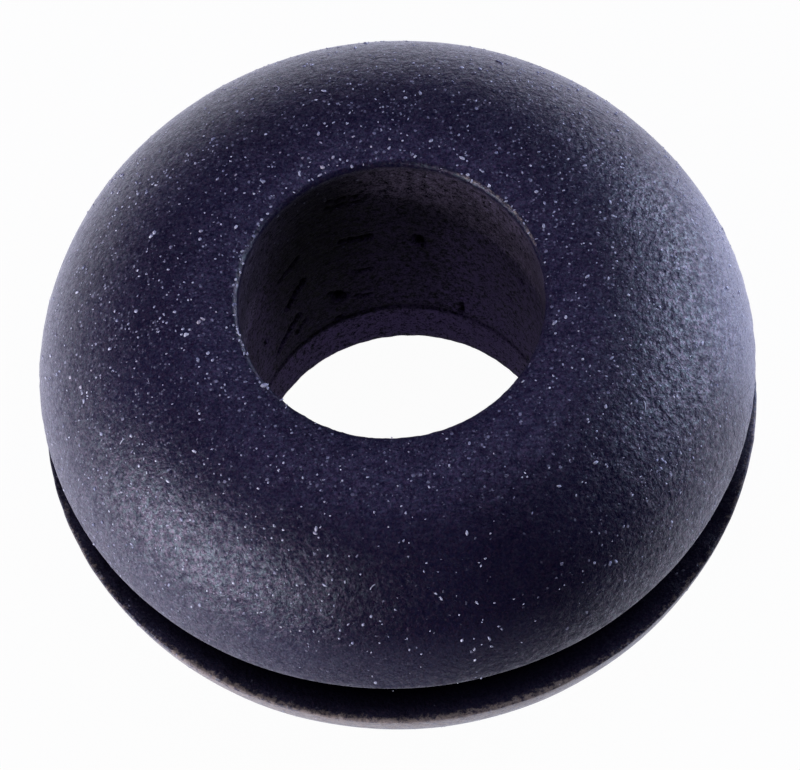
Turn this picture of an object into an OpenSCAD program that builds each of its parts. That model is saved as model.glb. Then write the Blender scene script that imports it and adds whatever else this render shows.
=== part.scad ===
// Rubber grommet: one moulded ring that lines a round hole in a sheet panel.
// Two fat beads grip the panel's edge, which sits in the groove between them.
// The ring lies on its lower bead, with its axis along Z and the origin under its centre.

/* [Ring] */
// Diameter over the beads
outer_d = 14.2; // [13.6:0.2:15]
// Diameter of the bore that a cable or tube runs through
bore_d = 6; // [5:0.25:6.5]
// Height over both crowns
height = 7.5; // [6.9:0.1:8.3]
// Radius of the round that shapes each bead
bead_r = 3.55; // [3.3:0.05:3.8]

/* [Groove] */
// Width of the groove, for a panel of this thickness
groove_w = 1.5; // [0.8:0.1:2.4]
// Diameter at the bottom of the groove, for a panel hole of this size
groove_d = 10; // [8.5:0.25:11]
// Radius in the corners at the bottom of the groove
groove_corner_r = 0.2; // [0.1:0.05:0.35]

/* [Bore] */
// Height of the line where the two core pins of the mould met
pin_line_z = 1.45; // [1.1:0.05:3]
// Depth of that line
pin_line_depth = 0.04; // [0.02:0.01:0.08]

/* [Hidden] */
$fn = 72;
outer_r = outer_d / 2;
bore_r = bore_d / 2;
groove_r = groove_d / 2;
mid_z = height / 2;
// Centre of the upper bead's round, as [distance from the axis, height above the middle].
// The round is widest at the groove's edge, or at its own centre if that is higher.
bead_z = mid_z - bead_r;
edge_drop = max(0, groove_w / 2 - bead_z);
bead_c = [outer_r - sqrt(pow(bead_r, 2) - pow(edge_drop, 2)), bead_z];
rubber = [0.15, 0.145, 0.195];

// Section of the ring above its middle plane: a full round, cut straight where the bore is
module bead_section() {
    intersection() {
        translate(bead_c) circle(r = bead_r, $fn = 144);
        translate([bore_r, 0]) square([outer_r, height]);
    }
}

// Section of the groove, with round corners at its bottom
module groove_section() {
    c = groove_corner_r;
    translate([groove_r + c, -groove_w / 2]) square([outer_r, groove_w]);
    translate([groove_r, c - groove_w / 2]) square([c, groove_w - 2 * c]);
    for (side = [-1, 1])
        translate([groove_r + c, side * (groove_w / 2 - c)]) circle(r = c, $fn = 36);
}

// Section of the fine line round the bore wall
module pin_line_section() {
    translate([bore_r, pin_line_z - mid_z]) rotate(45)
        square(pin_line_depth * sqrt(2), center = true);
}

module grommet() {
    color(rubber) translate([0, 0, mid_z]) rotate_extrude() difference() {
        union() {
            bead_section();
            mirror([0, 1]) bead_section();
        }
        groove_section();
        pin_line_section();
    }
}

grommet();
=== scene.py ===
import bpy, bmesh, math, random
from mathutils import Matrix, Vector, noise


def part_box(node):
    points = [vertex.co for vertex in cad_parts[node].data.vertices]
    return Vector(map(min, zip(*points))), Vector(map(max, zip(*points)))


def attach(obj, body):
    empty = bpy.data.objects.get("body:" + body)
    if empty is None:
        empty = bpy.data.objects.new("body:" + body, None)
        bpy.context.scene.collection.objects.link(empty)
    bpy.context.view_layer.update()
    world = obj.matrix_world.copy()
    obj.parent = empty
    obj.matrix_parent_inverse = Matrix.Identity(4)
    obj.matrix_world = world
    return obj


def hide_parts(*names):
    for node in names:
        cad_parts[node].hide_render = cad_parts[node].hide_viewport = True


# Rubber grommet on a pale floor. Lengths are in millimetres here and become metres in the mesh.
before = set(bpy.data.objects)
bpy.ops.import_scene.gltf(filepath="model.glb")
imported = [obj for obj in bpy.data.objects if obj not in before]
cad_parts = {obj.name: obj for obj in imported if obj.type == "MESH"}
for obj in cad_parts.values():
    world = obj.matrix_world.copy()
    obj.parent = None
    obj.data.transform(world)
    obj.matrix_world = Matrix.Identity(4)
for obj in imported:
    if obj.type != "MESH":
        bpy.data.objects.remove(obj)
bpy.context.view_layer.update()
mm = 0.001
low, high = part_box("grommet")
middleZ = (low.z + high.z) / 2 / mm
print("frame loaded, height", round((high.z - low.z) / mm, 2), "mm")


def ring(angle, radius, height=0.0):
    # a point by its direction round the axis, in degrees anticlockwise from +X
    turn = math.radians(angle)
    return Vector((radius * math.cos(turn), radius * math.sin(turn), height))


def smooth(value, start, end):
    # 0 before start, 1 after end, with a soft step between
    share = min(1.0, max(0.0, (value - start) / (end - start)))
    return share * share * (3 - 2 * share)


def window(value, start, full, fading, end):
    # 1 between two soft steps and 0 outside them
    return smooth(value, start, full) * (1 - smooth(value, fading, end))


def near(value, middle, inner, outer):
    # 1 close to the middle, 0 beyond the outer distance
    return 1 - smooth(abs(value - middle), inner, outer)


def facing(angle, middle):
    return max(0.0, math.cos(math.radians(angle - middle)))


def finishMesh(bm, name, material):
    mesh = bpy.data.meshes.new(name)
    bm.to_mesh(mesh)
    bm.free()
    mesh.materials.append(material)
    for face in mesh.polygons:
        face.use_smooth = True
    piece = bpy.data.objects.new(name, mesh)
    bpy.context.scene.collection.objects.link(piece)
    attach(piece, "root")
    return piece


# small helpers for node trees

class Tree:
    def __init__(self, holder):
        holder.use_nodes = True
        self.nodes, self.links = holder.node_tree.nodes, holder.node_tree.links
        self.nodes.clear()

    def add(self, kind, **inputs):
        # a node, with its input sockets set or linked by name; spaces in socket names become underscores
        node = self.nodes.new("ShaderNode" + kind)
        for name, value in inputs.items():
            self.put(node.inputs[name.replace("_", " ")], value)
        return node

    def put(self, socket, value):
        if isinstance(value, bpy.types.NodeSocket):
            self.links.new(value, socket)
        elif isinstance(value, tuple) and len(value) == 3 and socket.type == "RGBA":
            socket.default_value = (*value, 1)
        else:
            socket.default_value = value

    def math(self, operation, *values):
        node = self.nodes.new("ShaderNodeMath")
        node.operation = operation
        for socket, value in zip(node.inputs, values):
            self.put(socket, value)
        return node.outputs[0]

    def times(self, *values):
        product = values[0]
        for value in values[1:]:
            product = self.math("MULTIPLY", product, value)
        return product

    def plus(self, *values):
        total = values[0]
        for value in values[1:]:
            total = self.math("ADD", total, value)
        return total

    def rest(self, value):
        # what is left of 1
        return self.math("SUBTRACT", 1.0, value)

    def remap(self, value, start, end, low=0.0, high=1.0):
        node = self.add("MapRange", Value=value, From_Min=start, From_Max=end, To_Min=low, To_Max=high)
        return node.outputs["Result"]

    def blend(self, share, first, second):
        node = self.nodes.new("ShaderNodeMix")
        node.data_type = "RGBA"
        for socket, value in zip((node.inputs[0], node.inputs[6], node.inputs[7]), (share, first, second)):
            self.put(socket, value)
        return node.outputs[2]

    def noise(self, place, size, detail=2.0, roughness=0.6):
        # size is that of one blob, in mm; place is in mm too
        node = self.add("TexNoise", Vector=place, Scale=1 / size, Detail=detail, Roughness=roughness)
        return node.outputs["Fac"]

    def placeMm(self, stretch=(1, 1, 1)):
        node = self.nodes.new("ShaderNodeVectorMath")
        node.operation = "MULTIPLY"
        self.put(node.inputs[0], self.add("TexCoord").outputs["Object"])
        node.inputs[1].default_value = [s / mm for s in stretch]
        return node.outputs[0]

    def mark(self, name):
        node = self.nodes.new("ShaderNodeAttribute")
        node.attribute_name = name
        return node.outputs["Fac"]


# materials

rubber = {
    "clean": (0.0062, 0.0056, 0.0225),
    "bloom": (0.0125, 0.0118, 0.0370),      # where the wax bloom is thicker
    "violet": (0.0230, 0.0115, 0.0320),
    "wallBase": (0.0030, 0.0020, 0.0060),   # painted shade inside the bore, under its painted light
    "wall": (0.620, 0.500, 0.720),          # painted light on the lit parts of the wall, mottled
    "band": (0.660, 0.540, 0.740),          # painted light below the pin line, where the floor under the ring lights the wall
    "paintedReflection": (0.315, 0.262, 0.222),         # painted reflection: pale rim of the lower bead, and a painted highlight on the bore's edge
    # dust; also the colour of the painted highlight on the outer flanks
    "dust": (0.41, 0.42, 0.52),
    "paintedGrainShade": (0.0010, 0.0008, 0.0020),     # painted shade between the grains of the skin
    "paintedShade": (0.0005, 0.0005, 0.001),         # painted shade in tears, in the groove, along the pin line and on the lower bead's rim
    "glossTints": ((1.0, 0.84, 1.0), (0.80, 1.0, 1.0)),
    "sheenTints": ((0.84, 0.76, 1.0), (0.64, 0.88, 1.0)),
    "ior": 1.5,
    "gloss": 0.5,
    "roughness": 0.32,
    "roughnessSpread": 0.05,
    "sheen": 0.10,                          # the film of fine dust, seen at a grazing angle
    "sheenRoughness": 0.3,
    "bump": 0.010,                          # mm
}

# each noise: mm across one blob, detail, roughness
noises = {
    "cloud": (2.2, 5, 0.6),
    "tint": (0.050, 2, 0.6),
    "grain": (0.040, 3, 0.75),
    "mottle": (0.13, 4, 0.7),
    "paintedReflectionShare": (0.12, 5, 0.8),
    "drift": (0.9, 2, 0.5),
    "smear": (0.10, 4, 0.7),
    "pebble": (0.13, 2, 0.5),
    "wave": (0.6, 3, 0.5),
    "score": (1.0, 3, 0.65),
    "breakUp": (0.062, 3, 0.75),
    "clump": (0.20, 3, 0.65),
    "hue": (0.070, 2, 0.6),
}

# what a noise turns into: where it starts and ends, then what it gives at either end, or 0 and 1
spans = {
    "bloom": (0.35, 0.65),
    "violet": (0.46, 0.62, 0, 0.9),
    "mottle": (0.44, 0.56, 0.05, 1.95),
    "paintedHighlight": (0.36, 0.64, 0.4, 1.6),
    "paintedReflectionShare": (0.90, 1.03),
    "powder": (0.54, 0.70, 0, 0.12),
    "drift": (0.48, 0.62),
    "smear": (0.56, 0.68, 0, 0.14),
    "speckEdge": (0.7, 1.1, 1, 0),
    "paintedGrainShade": (0.30, 0.48, 0.55, 0),
    "breakUp": (0.37, 0.63, 0.32, 1.68),
    "clump": (0.38, 0.62, 0.60, 1.40),
    "glints": (0.38, 0.62, 0.45, 1.55),
    "hue": (0.40, 0.60),
}

# how high each form stands in the bump; the skin's grain is 1
relief = {"pebble": 1.8, "pebbled": 2.4, "speck": 1.2, "score": 2.2}

# shares of one layer in another
shares = {"mottle": 0.5, "band": 0.8, "paintedReflection": 0.5, "paintedShade": 0.95, "dullWall": 0.90, "dullPaintedReflection": 0.75}

# layers of dust specks: mm between cells, the largest speck as a share of a cell, share of cells that hold one
speckLayers = [
    {"cell": 0.072, "reach": 0.30, "share": 0.46, "strength": 0.40},
    {"cell": 0.135, "reach": 0.21, "share": 0.34, "strength": 0.70},
]
speckBend = {"size": 0.04, "amount": 0.07}  # mm
speckLeast = {"reach": 0.35, "strength": 0.25}

# what the body's mesh tells its material, vertex by vertex
bodyMarks = ("wall", "lit", "band", "paintedReflection", "paintedShade", "scored", "dusty", "paintedHighlight", "pebbled")


def makeSpecks(tree, place, dusty):
    # irregular specks: the cells are bent by a fine noise first
    bend = tree.add("TexNoise", Vector=place, Scale=1 / speckBend["size"], Detail=2.0)
    shift = tree.nodes.new("ShaderNodeVectorMath")
    shift.operation = "MULTIPLY_ADD"
    tree.put(shift.inputs[0], bend.outputs["Color"])
    shift.inputs[1].default_value = [speckBend["amount"]] * 3
    tree.put(shift.inputs[2], place)
    specks = None
    for layer in speckLayers:
        cells = tree.add("TexVoronoi", Vector=shift.outputs[0], Scale=1 / layer["cell"])
        chance = tree.add("SeparateColor", Color=cells.outputs["Color"]).outputs
        present = tree.math("LESS_THAN", chance["Red"], tree.times(layer["share"], dusty))
        reach = tree.times(tree.plus(chance["Green"], speckLeast["reach"]), layer["reach"])
        soft = tree.remap(tree.math("DIVIDE", cells.outputs["Distance"], reach), *spans["speckEdge"])
        strength = tree.times(tree.plus(chance["Blue"], speckLeast["strength"]), layer["strength"])
        speck = tree.times(present, soft, strength)
        specks = speck if specks is None else tree.math("MAXIMUM", specks, speck)
    return specks


def makeRubber():
    material = bpy.data.materials.new("mouldedRubber")
    tree = Tree(material)
    place = tree.placeMm()
    wall, lit, band, paintedReflection, paintedShade, scored, dusty, paintedHighlight, pebbled = (tree.mark(name) for name in bodyMarks)

    def fine(name):
        return tree.noise(place, *noises[name])

    colour = tree.blend(tree.remap(fine("cloud"), *spans["bloom"]), rubber["clean"], rubber["bloom"])
    colour = tree.blend(tree.remap(fine("tint"), *spans["violet"]), colour, rubber["violet"])
    grain = fine("grain")
    # inside the bore: painted shade, with mottled violet painted light where the wall is lit and below the pin
    # line
    mottle = tree.plus(tree.times(grain, shares["mottle"]), tree.times(fine("mottle"), shares["mottle"]))
    mottle = tree.remap(mottle, *spans["mottle"])
    colour = tree.blend(wall, colour, rubber["wallBase"])
    colour = tree.blend(tree.times(lit, mottle), colour, rubber["wall"])
    colour = tree.blend(tree.times(band, tree.times(mottle, shares["band"])), colour, rubber["band"])
    # painted highlight on the outer flanks, in the dust colour
    colour = tree.blend(tree.times(paintedHighlight, tree.remap(grain, *spans["paintedHighlight"])), colour, rubber["dust"])
    # painted reflection on the lower bead's rim and painted highlight on the bore's edge, in patches
    paintedReflectionShare = tree.remap(tree.plus(fine("paintedReflectionShare"), tree.times(paintedReflection, shares["paintedReflection"])), *spans["paintedReflectionShare"])
    colour = tree.blend(paintedReflectionShare, colour, rubber["paintedReflection"])

    specks = makeSpecks(tree, place, dusty)
    # powder in the grain, and smears of talc in drifts
    powder = tree.times(tree.remap(grain, *spans["powder"]), dusty)
    drift = tree.remap(fine("drift"), *spans["drift"])
    smear = tree.times(tree.remap(fine("smear"), *spans["smear"]), drift, dusty)
    powder = tree.math("MAXIMUM", powder, smear)
    colour = tree.blend(tree.math("MAXIMUM", specks, powder), colour, rubber["dust"])
    # painted shade: black in the grain's hollows
    colour = tree.blend(tree.remap(grain, *spans["paintedGrainShade"]), colour, rubber["paintedGrainShade"])
    # painted shade in tears, the groove, the pin line and the lower bead's rim
    colour = tree.blend(tree.times(paintedShade, shares["paintedShade"]), colour, rubber["paintedShade"])

    pebble = fine("pebble")
    score = tree.noise(tree.placeMm((0.7, 0.7, 9)), *noises["score"])
    pebbles = tree.times(pebble, tree.plus(relief["pebble"], tree.times(pebbled, relief["pebbled"])))
    height = tree.plus(grain, pebbles, fine("wave"), tree.times(specks, relief["speck"]),
                       tree.times(score, scored, relief["score"]))
    bump = tree.add("Bump", Strength=1.0, Distance=rubber["bump"] * mm, Height=height)

    spread = rubber["roughnessSpread"]
    rough = tree.remap(pebble, 0.3, 0.7, rubber["roughness"] - spread, rubber["roughness"] + spread)
    shader = tree.add("BsdfPrincipled", Base_Color=colour, Roughness=rough, Normal=bump.outputs["Normal"])
    shader.inputs["IOR"].default_value = rubber["ior"]
    # grain breaks up the gloss and the film of dust, and shifts their colour a little
    glints = tree.blend(pebbled, (1.0, 1.0, 1.0), tree.remap(pebble, *spans["glints"]))
    breakUp = tree.times(tree.remap(fine("breakUp"), *spans["breakUp"]),
                         tree.remap(fine("clump"), *spans["clump"]), glints)
    hue = tree.remap(fine("hue"), *spans["hue"])
    outBore = tree.times(tree.rest(paintedShade), tree.rest(tree.times(wall, shares["dullWall"])),
                         tree.rest(tree.times(paintedReflectionShare, shares["dullPaintedReflection"])))
    tree.put(shader.inputs["Specular IOR Level"], tree.times(outBore, tree.times(breakUp, rubber["gloss"])))
    tree.put(shader.inputs["Specular Tint"], tree.blend(hue, *rubber["glossTints"]))
    tree.put(shader.inputs["Sheen Weight"], tree.times(outBore, tree.times(breakUp, rubber["sheen"])))
    tree.put(shader.inputs["Sheen Tint"], tree.blend(hue, *rubber["sheenTints"]))
    shader.inputs["Sheen Roughness"].default_value = rubber["sheenRoughness"]
    tree.add("OutputMaterial", Surface=shader.outputs["BSDF"])
    return material


talc = {
    "grey": (0.28, 0.30, 0.40),
    "white": (0.80, 0.82, 0.86),
    "warm": (0.55, 0.40, 0.36),
    "roughness": 0.9,
}


def makeDust():
    # talc and lint: pale, rough, a little different from grain to grain
    material = bpy.data.materials.new("paleDust")
    tree = Tree(material)
    place = tree.placeMm()
    shade = tree.remap(tree.noise(place, 0.35, 1), 0.3, 0.7)
    colour = tree.blend(shade, talc["grey"], talc["white"])
    warm = tree.remap(tree.noise(place, 0.9, 1), 0.62, 0.70, 0, 0.35)
    colour = tree.blend(warm, colour, talc["warm"])
    shader = tree.add("BsdfPrincipled", Base_Color=colour, Roughness=talc["roughness"])
    tree.add("OutputMaterial", Surface=shader.outputs["BSDF"])
    return material


rubberMaterial = makeRubber()
dustMaterial = makeDust()
print("materials ready")


# the ring: its section goes once round the axis

body = {
    "outerRadius": 7.1,
    "boreRadius": 3.0,
    "beadRadius": 3.55,
    "beadCentreUp": 0.2,                    # above the middle plane
    "grooveHalf": 0.75,
    "grooveRadius": 5.0,
    "grooveCorner": 0.2,
    "lipRound": 0.05,                       # on the groove's outer edges
    "boreRound": 0.15,
    "pinLineUp": 1.45,                      # above the foot
    "pinLineDepth": 0.04,
    "pinLineHalf": 0.05,
    "stepsRound": 360,
    "wallRows": 92,
    "beadSteps": (70, 44),                  # of the upper bead and the lower one
    "grooveSteps": (9, 6),
    "footUp": 0.002,                        # no vertex lies lower than this
}

# what the mould did not make perfect
faults = {
    "boreShift": (0.006, -0.077),           # the core pin stood a little off centre
    "shiftRadius": (3.2, 5.2),              # the shift dies away between these radii
    "wave": 0.010,
    "lipUp": 0.035,                         # raggedness of the groove's lips
    "lipOut": 0.014,
    "lipRadius": (6.85, 7.05),
    "lipNear": (0.02, 0.16),
    "flash": 0.014,                         # on the bore's edge
    "flashRadius": (3.02, 3.14),
    "flashUp": (3.50, 3.62),
    "tearWobble": 0.65,
    "tearEdge": (0.35, 1.25),
    "tearReach": 1.2,                       # a tear ends nearer than this to its start
}
lipDrop = body["grooveHalf"] - body["beadCentreUp"]
beadX = body["outerRadius"] - math.sqrt(body["beadRadius"] ** 2 - lipDrop ** 2)

# tears and pits that the core pin left in the wall: start and end as (degrees round, mm above the middle)
tears = [
    {"start": (125.2, 0.16), "end": (133.5, -0.34), "half": 0.075, "depth": 0.11},
    {"start": (129.1, -1.05), "end": (141.1, -1.60), "half": 0.065, "depth": 0.10},
    {"start": (125.1, -1.42), "end": (131.2, -1.66), "half": 0.04, "depth": 0.05},
    {"start": (126.0, 1.24), "end": (137.2, 0.99), "half": 0.045, "depth": 0.05},
    {"start": (107.7, 0.91), "end": (95.5, 0.80), "half": 0.06, "depth": 0.08},
    {"start": (111.3, 2.73), "end": (95.7, 2.50), "half": 0.04, "depth": 0.04},
    {"start": (112.0, 2.48), "end": (98.0, 2.30), "half": 0.04, "depth": 0.035},
    {"start": (103.7, -0.50), "end": (96.7, -0.55), "half": 0.05, "depth": 0.05},
    {"start": (103.8, -1.54), "end": (97.5, -1.67), "half": 0.05, "depth": 0.05},
    {"start": (110.8, -1.22), "end": (109.5, -1.35), "half": 0.13, "depth": 0.12},
    {"start": (114.3, -1.00), "end": (111.5, -1.15), "half": 0.05, "depth": 0.06},
    {"start": (111.3, -2.20), "end": (110.5, -2.20), "half": 0.08, "depth": 0.08},
    {"start": (77.8, 0.66), "end": (76.8, 0.46), "half": 0.11, "depth": 0.12},
    {"start": (62.0, -1.80), "end": (62.1, -2.14), "half": 0.06, "depth": 0.09},
    {"start": (30.6, 1.08), "end": (30.2, 1.02), "half": 0.08, "depth": 0.09},
    {"start": (38.9, -0.20), "end": (37.8, -0.32), "half": 0.06, "depth": 0.06},
    {"start": (163.5, 1.12), "end": (163.0, 1.06), "half": 0.07, "depth": 0.08},
    {"start": (148.8, -0.53), "end": (148.2, -0.60), "half": 0.07, "depth": 0.08},
]


def arc(centre, radius, start, end, count):
    points = []
    for step in range(count + 1):
        turn = math.radians(start + (end - start) * step / count)
        points.append((centre[0] + radius * math.cos(turn), centre[1] + radius * math.sin(turn)))
    return points


def halfSection(beadSteps, grooveSteps):
    # from the middle of the groove's bottom, over the bead, to the top of the bore wall
    b = body
    beadR, up, lip = b["beadRadius"], b["beadCentreUp"], b["lipRound"]
    edgeX = b["boreRadius"] + b["boreRound"]
    edgeZ = up + math.sqrt((beadR - b["boreRound"]) ** 2 - (beadX - edgeX) ** 2)
    lipZ = b["grooveHalf"] + lip
    lipX = beadX + math.sqrt((beadR - lip) ** 2 - (lipZ - up) ** 2)
    lipTurn = math.degrees(math.atan2(lipZ - up, lipX - beadX))
    edgeTurn = math.degrees(math.atan2(edgeZ - up, edgeX - beadX))
    cornerX = b["grooveRadius"] + b["grooveCorner"]
    points = [(b["grooveRadius"], 0.0), (b["grooveRadius"], 0.28)]
    points += arc((cornerX, b["grooveHalf"] - b["grooveCorner"]), b["grooveCorner"], 180, 90, 4)
    for step in range(1, grooveSteps):
        points.append((cornerX + (lipX - cornerX) * step / grooveSteps, b["grooveHalf"]))
    points += arc((lipX, lipZ), lip, 270, 360 + lipTurn, 4)
    points += arc((beadX, up), beadR, lipTurn, edgeTurn, beadSteps)[1:]
    points += arc((edgeX, edgeZ), b["boreRound"], edgeTurn, 180, 7)[1:]
    return points, edgeZ


def wallSection(top):
    b = body
    lineUp = b["pinLineUp"] - middleZ
    heights = [top - 2 * top * step / b["wallRows"] for step in range(1, b["wallRows"])]
    points = [(b["boreRadius"], up) for up in heights if abs(up - lineUp) > 1.6 * b["pinLineHalf"]]
    points += [(b["boreRadius"], lineUp + b["pinLineHalf"]), (b["boreRadius"] + b["pinLineDepth"], lineUp),
               (b["boreRadius"], lineUp - b["pinLineHalf"])]
    return sorted(points, key=lambda point: -point[1])


def handMove(x, y, up, normal):
    # an off-centre bore, low waves, ragged lips and a little flash
    radius = math.hypot(x, y)
    out = Vector((x, y, 0)) / radius
    move = Vector((*faults["boreShift"], 0)) * (1 - smooth(radius, *faults["shiftRadius"]))
    move += normal * faults["wave"] * noise.noise(Vector((x, y, up)) * 0.55)
    lipNear = smooth(radius, *faults["lipRadius"]) * near(abs(up), body["grooveHalf"], *faults["lipNear"])
    if lipNear > 0:
        ragged = noise.noise(Vector((x * 2.6, y * 2.6, up)))
        ragged += 0.7 * noise.noise(Vector((x * 8, y * 8, 9 + up)))
        move += Vector((0, 0, faults["lipUp"] * lipNear * ragged)) + out * faults["lipOut"] * lipNear * ragged
    edgeNear = (1 - smooth(radius, *faults["flashRadius"])) * smooth(abs(up), *faults["flashUp"])
    if edgeNear > 0:
        flash = 0.3 + noise.noise(Vector((x * 4.5, y * 4.5, 5.0)))
        flash += 0.5 * noise.noise(Vector((x * 14, y * 14, 2.0)))
        move -= out * faults["flash"] * edgeNear * max(0.0, flash)
    return move


def tearAt(angle, up):
    # depth in mm of the tears at one place of the bore wall, and how much painted shade lies in them
    depth, dark = 0.0, 0.0
    here = Vector((math.radians(angle) * body["boreRadius"], up))
    for tear in tears:
        start, end = (Vector((math.radians(a) * body["boreRadius"], z)) for a, z in (tear["start"], tear["end"]))
        if max(abs(here.x - start.x), abs(here.y - start.y)) > faults["tearReach"]:
            continue
        along = end - start
        part = min(1.0, max(0.0, (here - start).dot(along) / max(along.length_squared, 1e-9)))
        wobble = 1 + faults["tearWobble"] * noise.noise(Vector((here.x * 9, here.y * 9, 1.0)))
        away = (here - start - along * part).length / (tear["half"] * wobble)
        inside = 1 - smooth(away, *faults["tearEdge"])
        depth = max(depth, tear["depth"] * inside)
        dark = max(dark, inside)
    return depth, dark


# where the marks lie: two numbers are a soft step, four a soft window; mm or degrees round
marks = {
    "wallRadius": (3.03, 3.12),
    "wallUp": (3.45, 3.62),
    "tearUp": 3.5,
    "grooveRadius": (6.6, 6.95),
    "grooveUp": 0.8,
    "farSide": (40, 75, 285, 320),          # degrees from the near side, which stays plain
    "plainLit": 0.06,
    "plainBand": 0.12,
    "bandDrop": (0.10, 0.22),               # below the pin line
    "rimRadius": (6.78, 6.98),
    "rimUp": (-1.25, 0.50, 0.75),           # middle, then the distances from it of a soft step
    "rimPaintedReflection": (184, 232, 292, 328),
    "rimLeft": (182, 192, 212, 232),        # the painted reflection breaks into scattered marks on the dark skin at the rim's ends
    "rimRight": (285, 305, 352, 359),
    "scattered": 0.86,
    "paintedEdgeHighlight": 0.84,
    "dustyAngle": 274,                      # the near right has the fewest specks
    "dustyRadius": (3.6, 5.2),
}


def wallLight(angle, up):
    # how much painted light the bore wall gets: least on the far side a little left of its middle, more where it
    # comes round and low down, less towards the top
    shine = 0.055 + 0.19 * smooth(116 - angle, 4, 30) + 0.15 * smooth(angle - 120, 4, 24)
    shine += 0.60 * smooth(80 - angle, 0, 34) + 0.60 * smooth(angle - 138, 0, 20) + 0.09 * smooth(-up, -0.8, 1.0)
    middle = near(angle, 105, 15, 50)
    return shine * (1 - 0.88 * smooth(up, 0.7, 2.5) * (1 - middle) - 0.6 * smooth(up, 2.4, 3.4) * middle)


def paintedEdgeHighlight(angle, radius, up, top):
    # painted highlight: a thin broken pale line on the bore's edge at the left and at the far right
    if radius >= 3.2 or up <= 3:
        return 0.0
    turn = math.degrees(math.atan2(up - top, radius - body["boreRadius"] - body["boreRound"])) % 360
    return near(turn, 132, 10, 26) * max(0.86 * near(angle, 182, 22, 44), near(angle, 38, 20, 32))


def paintedHighlightShare(angle, radius, up):
    # painted highlight where the flanks turn away: mostly at the right, a little round the back
    right = near((angle + 174) % 360, 180, 8, 30)
    haze = 0.46 * right * smooth(radius, 5.8, 7.0) + 0.17 * facing(angle, 115) * smooth(radius, 6.2, 7.05)
    haze += 0.09 * facing(angle, 225) * smooth(radius, 6.5, 7.0)
    return haze if up > 0 else 0.5 * haze


def pebbleShare(angle, radius, up):
    if up <= 0:
        return 0.0
    return facing(angle, 14) ** 2 * smooth(radius, 4.5, 5.6) * (1 - 0.6 * smooth(radius, 6.3, 6.9))


def makeBody():
    (upperBead, lowerBead), (upperGroove, lowerGroove) = body["beadSteps"], body["grooveSteps"]
    upper, top = halfSection(upperBead, upperGroove)
    lower = halfSection(lowerBead, lowerGroove)[0]
    down = [(x, -z) for x, z in reversed(lower[1:])]
    outline = upper + wallSection(top) + down
    bm = bmesh.new()
    verts = [bm.verts.new((x * mm, 0, (z + middleZ) * mm)) for x, z in outline]
    edges = [bm.edges.new(pair) for pair in zip(verts, verts[1:] + verts[:1])]
    bmesh.ops.spin(bm, geom=verts + edges, cent=(0, 0, 0), axis=(0, 0, 1), angle=math.tau,
                   steps=body["stepsRound"], use_merge=True)
    bmesh.ops.remove_doubles(bm, verts=bm.verts[:], dist=1e-7)
    bmesh.ops.recalc_face_normals(bm, faces=bm.faces[:])
    bm.normal_update()
    layers = {name: bm.verts.layers.float.new(name) for name in bodyMarks}
    lineUp = body["pinLineUp"] - middleZ
    for vert in bm.verts:
        x, y, z = (c / mm for c in vert.co)
        up = z - middleZ
        radius = math.hypot(x, y)
        angle = math.degrees(math.atan2(y, x)) % 360
        move = handMove(x, y, up, vert.normal)
        onWall = 1 - smooth(radius, *marks["wallRadius"])
        depth, dark = tearAt(angle, up) if onWall > 0 and abs(up) < marks["tearUp"] else (0.0, 0.0)
        move += Vector((x, y, 0)) / radius * depth * onWall
        vert.co += move * mm
        vert.co.z = max(vert.co.z, body["footUp"] * mm)

        found = {"wall": onWall * (1 - smooth(abs(up), *marks["wallUp"]))}
        # painted light and shade on the bore wall: pale where it is lit, dark elsewhere; the band below the pin
        # line is painted light from the floor under the ring
        farSide = window((angle + 90) % 360, *marks["farSide"])
        plainLit, plainBand = marks["plainLit"], marks["plainBand"]
        found["lit"] = (plainLit + (wallLight(angle, up) - plainLit) * farSide) * found["wall"]
        found["band"] = onWall * smooth(lineUp - up, *marks["bandDrop"]) * (plainBand + (1 - plainBand) * farSide)
        found["scored"] = onWall * smooth(up, -1.2, -0.2) * near(angle, 112, 14, 34)
        # painted reflection: the lower bead's rim is paled along the near side, where it faces the floor
        rimSide = smooth(radius, *marks["rimRadius"]) * near(up, *marks["rimUp"])
        rimPaintedReflection = rimSide * window(angle, *marks["rimPaintedReflection"])
        rimEnds = max(window(angle, *marks["rimRight"]), window(angle, *marks["rimLeft"]))
        found["paintedReflection"] = max(rimPaintedReflection, marks["scattered"] * rimSide * rimEnds,
                             marks["paintedEdgeHighlight"] * paintedEdgeHighlight(angle, radius, up, top))
        # painted shade on the rest of the lower bead's rim, less towards the right
        rimShade = (0.62 - 0.46 * smooth(angle, 332, 349)) * (rimSide - rimPaintedReflection)
        # painted shade in the groove, along the pin line and in the tears
        inGroove = 0.0
        if abs(up) < marks["grooveUp"] and radius > 4:
            inGroove = 1 - smooth(radius, *marks["grooveRadius"])
        nearLine = 0.50 * near(up, lineUp, 0.03, 0.20) * onWall
        found["paintedShade"] = max(dark * onWall, inGroove * (1 - rimPaintedReflection), nearLine, rimShade)
        found["paintedHighlight"] = paintedHighlightShare(angle, radius, up)
        found["pebbled"] = pebbleShare(angle, radius, up)
        # fewer specks on the wall, in the groove and towards the near right, which also keeps the near right dark
        # as painted shade
        nearRight = facing(angle, marks["dustyAngle"]) * smooth(radius, *marks["dustyRadius"])
        found["dusty"] = (1 - 0.8 * onWall) * (1 - inGroove) * (1 - 0.93 * nearRight ** 2)
        for name, layer in layers.items():
            vert[layer] = found[name]
    return finishMesh(bm, "grommetRubber", rubberMaterial)


grommet = makeBody()
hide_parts("grommet")
print("ring made:", len(grommet.data.polygons), "faces")


# dust grains that stand on the skin

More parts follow.
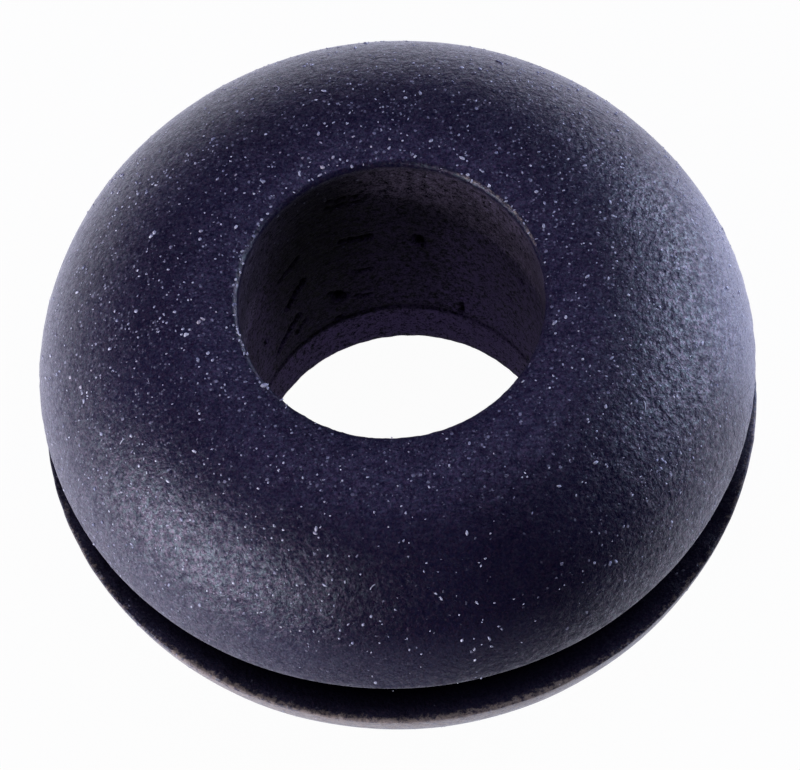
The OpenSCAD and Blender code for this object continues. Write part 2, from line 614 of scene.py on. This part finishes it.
dust = {
    "count": 2300,
    "radius": (0.012, 0.029),
    "bigShare": 0.10,
    "bigRadius": (0.030, 0.050),
    "flat": 0.40,                           # height of a grain as a share of its width
    "tallFlat": 0.5,                        # the same for the placed grains and those on the bore's edge
    "placedScale": 0.8,
    "stretch": (0.7, 1.55),
    "uneven": 0.28,
    "upperShare": 0.6,                      # the rest lies on the lower bead
    "lowerTilt": 12,                        # the lower bead has none nearer its foot than this
    "tilt": (-9, 84),
    "steepest": (62, 84),
    "edgeCount": 46,
    "edgeRadius": (0.016, 0.034),
    "edgeTilt": (-9.2, -7.4),
    "edgeAngle": ((188, 24), (36, 16)),     # middle and spread of the two groups
}
grainCorners = 12

# the largest grains: degrees round, degrees of tilt down the bead from its crown, radius in mm
bigGrains = [
    (156, 22, 0.062), (225, 65, 0.058), (144, 41, 0.052), (147, -8.6, 0.050), (100, -8.6, 0.046),
    (215, 23, 0.046), (175, 31, 0.040), (355, 17, 0.042), (120, 30, 0.040), (281, 67, 0.042),
    (323, 44, 0.044), (336, 33, 0.040), (119, 14, 0.038), (166, 24, 0.038), (167.5, 23, 0.034),
    (6, 34, 0.038), (102, 41, 0.038), (130, 23, 0.036), (343, 54, 0.036), (143, 36, 0.034),
    (212, -8.4, 0.085), (118, -4, 0.042), (146, 48, 0.036), (179, 26, 0.038), (188, 34, 0.034), (210, 15, 0.034),
]


def beadPlace(angle, tilt, side=1):
    # a point of the bead's skin and its normal; side is 1 for the upper bead and -1 for the lower
    lean = math.radians(tilt)
    normal = ring(angle, math.sin(lean), side * math.cos(lean))
    radius = beadX + body["beadRadius"] * math.sin(lean)
    up = body["beadCentreUp"] + body["beadRadius"] * math.cos(lean)
    point = ring(angle, radius, side * up)
    point += handMove(point.x, point.y, point.z, normal)
    point.z += middleZ
    return point, normal


def addGrain(bm, dice, point, normal, radius, flat):
    stretch = dice.uniform(*dust["stretch"])
    turn = normal.to_track_quat("Z", "Y").to_matrix().to_4x4() @ Matrix.Rotation(dice.uniform(0, math.tau), 4, "Z")
    size = Matrix.Diagonal((radius * stretch, radius / stretch, radius * flat, 1))
    matrix = Matrix.Translation(point * mm) @ turn @ Matrix.Scale(mm, 4) @ size
    made = bmesh.ops.create_icosphere(bm, subdivisions=1, radius=1, matrix=matrix)
    for vert in made["verts"]:
        vert.co += Vector([dice.uniform(-1, 1) for _ in range(3)]) * dust["uneven"] * radius * flat * mm


def makeDustGrains():
    dice = random.Random(11)
    bm = bmesh.new()
    for angle, tilt, radius in bigGrains:
        point, normal = beadPlace(angle, tilt)
        addGrain(bm, dice, point, normal, radius * dust["placedScale"], dust["tallFlat"])
    # a row of grains along the bore's edge
    for _ in range(dust["edgeCount"]):
        angle = dice.choice([dice.gauss(*group) for group in dust["edgeAngle"]])
        point, normal = beadPlace(angle, dice.uniform(*dust["edgeTilt"]))
        addGrain(bm, dice, point, normal, dice.uniform(*dust["edgeRadius"]), dust["tallFlat"])
    while len(bm.verts) < grainCorners * dust["count"]:
        side = 1 if dice.random() < dust["upperShare"] else -1
        angle, tilt = dice.uniform(0, 360), dice.uniform(*dust["tilt"])
        radius = beadX + body["beadRadius"] * math.sin(math.radians(tilt))
        # as many for each bit of skin, none near the foot, few where the skin turns under
        if dice.random() > radius / body["outerRadius"] or (side < 0 and tilt < dust["lowerTilt"]):
            continue
        if tilt > dice.uniform(*dust["steepest"]):
            continue
        if dice.random() < 0.5 * facing(angle, 290):
            continue
        point, normal = beadPlace(angle, tilt, side)
        # grains lie in drifts
        if noise.noise(point * 0.9) < dice.uniform(-0.6, 0.25):
            continue
        size = dust["bigRadius"] if dice.random() < dust["bigShare"] else dust["radius"]
        addGrain(bm, dice, point, normal, dice.uniform(*size), dust["flat"])
    return finishMesh(bm, "dustGrains", dustMaterial)


# short threads of lint: degrees round, tilt, length in mm, heading in degrees, bend in degrees
lint = [
    {"at": (110.5, 29.5), "long": 0.30, "heading": 15, "bend": 150},
    {"at": (202, 39), "long": 0.16, "heading": 80, "bend": 40},
    {"at": (64, 44), "long": 0.20, "heading": 140, "bend": 30},
    {"at": (331, 30), "long": 0.18, "heading": 60, "bend": -50},
    {"at": (262, 40), "long": 0.15, "heading": 20, "bend": 60},
    {"at": (24, 52), "long": 0.17, "heading": 110, "bend": 35},
]


lintThick, lintSteps = 0.010, 10            # radius in mm, segments along a thread


def makeLint():
    bm = bmesh.new()
    for thread in lint:
        point, normal = beadPlace(*thread["at"])
        sideways = normal.cross(Vector((0, 0, 1))).normalized()
        forward = Matrix.Rotation(math.radians(thread["heading"]), 3, normal) @ sideways
        ringVerts = bmesh.ops.create_circle(bm, segments=5, radius=lintThick * mm, cap_ends=True)["verts"]
        start = forward.to_track_quat("Z", "Y").to_matrix().to_4x4()
        lifted = point + normal * lintThick * 0.6
        bmesh.ops.transform(bm, matrix=Matrix.Translation(lifted * mm) @ start, verts=ringVerts)
        geom = ringVerts + list({f for v in ringVerts for f in v.link_faces})
        # the thread bends round a centre beside it
        bend = math.radians(thread["bend"])
        centre = lifted + normal.cross(forward) * thread["long"] / bend
        bmesh.ops.spin(bm, geom=geom, cent=centre * mm, axis=normal, angle=bend, steps=lintSteps)
    bmesh.ops.recalc_face_normals(bm, faces=bm.faces[:])
    return finishMesh(bm, "lintThreads", dustMaterial)


makeDustGrains()
makeLint()
print("dust and lint made")


# floor, light and camera

stage = {
    "floorSize": 600,
    "paint": (0.86, 0.85, 0.86),
    "shadowShare": 0.03,                    # how much of the real floor the camera sees under the white
    "fadeNear": (-12.0, -8.0),              # the studio is dark on the camera's side, beyond this y
    "glow": (0.88, 0.88, 0.96),             # the floor as the gloss shows it
    "underRing": 0.09,                      # what the shaded floor under the ring gives back
    "underRadius": (3.2, 7.0),
    "dimWorld": (0.02, 0.02, 0.025),
}


def makeFloor():
    material = bpy.data.materials.new("paleFloor")
    tree = Tree(material)
    place = tree.add("SeparateXYZ", Vector=tree.placeMm()).outputs
    squares = tree.plus(tree.math("POWER", place["X"], 2.0), tree.math("POWER", place["Y"], 2.0))
    radius = tree.math("SQRT", squares)
    fade = tree.remap(place["Y"], *stage["fadeNear"])
    under = tree.remap(radius, *stage["underRadius"], stage["underRing"], 1.0)
    path = tree.add("LightPath").outputs
    white = tree.add("Emission", Strength=1.0)
    glow = tree.add("Emission", Color=stage["glow"])
    lightBack = tree.times(fade, under)
    tree.put(glow.inputs["Strength"], tree.times(lightBack, path["Is Glossy Ray"]))
    dark = tree.times(tree.rest(lightBack), path["Is Glossy Ray"])
    paint = tree.add("BsdfDiffuse", Color=tree.blend(dark, stage["paint"], (0.0, 0.0, 0.0)))
    unseen = tree.add("AddShader")
    tree.put(unseen.inputs[0], paint.outputs[0])
    tree.put(unseen.inputs[1], glow.outputs[0])
    seen = tree.add("MixShader", Fac=tree.times(path["Is Camera Ray"], 1 - stage["shadowShare"]))
    tree.put(seen.inputs[1], unseen.outputs[0])
    tree.put(seen.inputs[2], white.outputs[0])
    tree.add("OutputMaterial", Surface=seen.outputs[0])
    bm = bmesh.new()
    bmesh.ops.create_grid(bm, x_segments=1, y_segments=1, size=stage["floorSize"] / 2 * mm)
    mesh = bpy.data.meshes.new("floor")
    bm.to_mesh(mesh)
    bm.free()
    mesh.materials.append(material)
    floor = bpy.data.objects.new("floor", mesh)
    bpy.context.scene.collection.objects.link(floor)


# softboxes: direction in degrees round and up, distance and size in mm, brightness where 1 is paper white
softboxes = [
    {"name": "softboxLeft", "at": (210, 10.5), "away": 55, "size": (42, 24), "bright": 9.2,
     "colour": (0.95, 0.935, 1.115)},
    {"name": "softboxRight", "at": (22, 14), "away": 55, "size": (44, 32), "bright": 5.1,
     "colour": (0.84, 0.915, 1.245)},
    {"name": "softboxBack", "at": (122, 15), "away": 90, "size": (150, 40), "bright": 0.32,
     "colour": (0.80, 0.70, 1.50)},
    {"name": "softboxTop", "at": (90, 80), "away": 90, "size": (60, 60), "bright": 0.95,
     "colour": (0.80, 0.70, 1.50)},
]


def makeSoftbox(box):
    lamp = bpy.data.lights.new(box["name"], "AREA")
    lamp.shape = "RECTANGLE"
    lamp.size, lamp.size_y = (side * mm for side in box["size"])
    lamp.energy = math.pi * box["bright"] * lamp.size * lamp.size_y
    lamp.color = box["colour"]
    holder = bpy.data.objects.new(box["name"], lamp)
    rise = math.radians(box["at"][1])
    towards = ring(box["at"][0], math.cos(rise), math.sin(rise))
    holder.location = (towards * box["away"] + Vector((0, 0, middleZ))) * mm
    holder.rotation_euler = (-towards).to_track_quat("-Z", "Y").to_euler()
    bpy.context.scene.collection.objects.link(holder)


def makeWorld():
    world = bpy.data.worlds.new("studio")
    bpy.context.scene.world = world
    tree = Tree(world)
    dim = tree.add("Background", Color=stage["dimWorld"])
    white = tree.add("Background", Color=(1.0, 1.0, 1.0))
    mix = tree.add("MixShader", Fac=tree.add("LightPath").outputs["Is Camera Ray"])
    tree.put(mix.inputs[1], dim.outputs[0])
    tree.put(mix.inputs[2], white.outputs[0])
    tree.add("OutputWorld", Surface=mix.outputs[0])


camera = {
    "elevation": 62.78,
    "roll": 5.38,
    "distance": 176.9,                      # mm, from the ring's middle
    "focal": 8906,                          # in pixels of the picture
    "pictureWide": 800,                     # pixels
    "sensor": 36,
    "clip": (0.01, 5),                      # metres
    "aim": (0.018, -0.057),                 # mm right of and above the ring's middle
}


def makeCamera():
    data = bpy.data.cameras.new("camera")
    data.sensor_width = camera["sensor"]
    data.lens = camera["focal"] * camera["sensor"] / camera["pictureWide"]
    data.clip_start, data.clip_end = camera["clip"]
    holder = bpy.data.objects.new("camera", data)
    rise, roll = math.radians(camera["elevation"]), math.radians(camera["roll"])
    right = Vector((1, 0, 0))
    up = Vector((0, math.sin(rise), math.cos(rise)))
    back = Vector((0, -math.cos(rise), math.sin(rise)))
    aim = Vector((0, 0, middleZ)) + right * camera["aim"][0] + up * camera["aim"][1]
    rightRolled = right * math.cos(roll) - up * math.sin(roll)
    upRolled = right * math.sin(roll) + up * math.cos(roll)
    turn = Matrix((rightRolled, upRolled, back)).transposed()
    holder.matrix_world = Matrix.Translation((aim + back * camera["distance"]) * mm) @ turn.to_4x4()
    bpy.context.scene.collection.objects.link(holder)
    bpy.context.scene.camera = holder


makeFloor()
makeWorld()
for box in softboxes:
    makeSoftbox(box)
makeCamera()
bpy.context.scene.view_settings.view_transform = "Standard"
print("stage, lamps and camera ready")
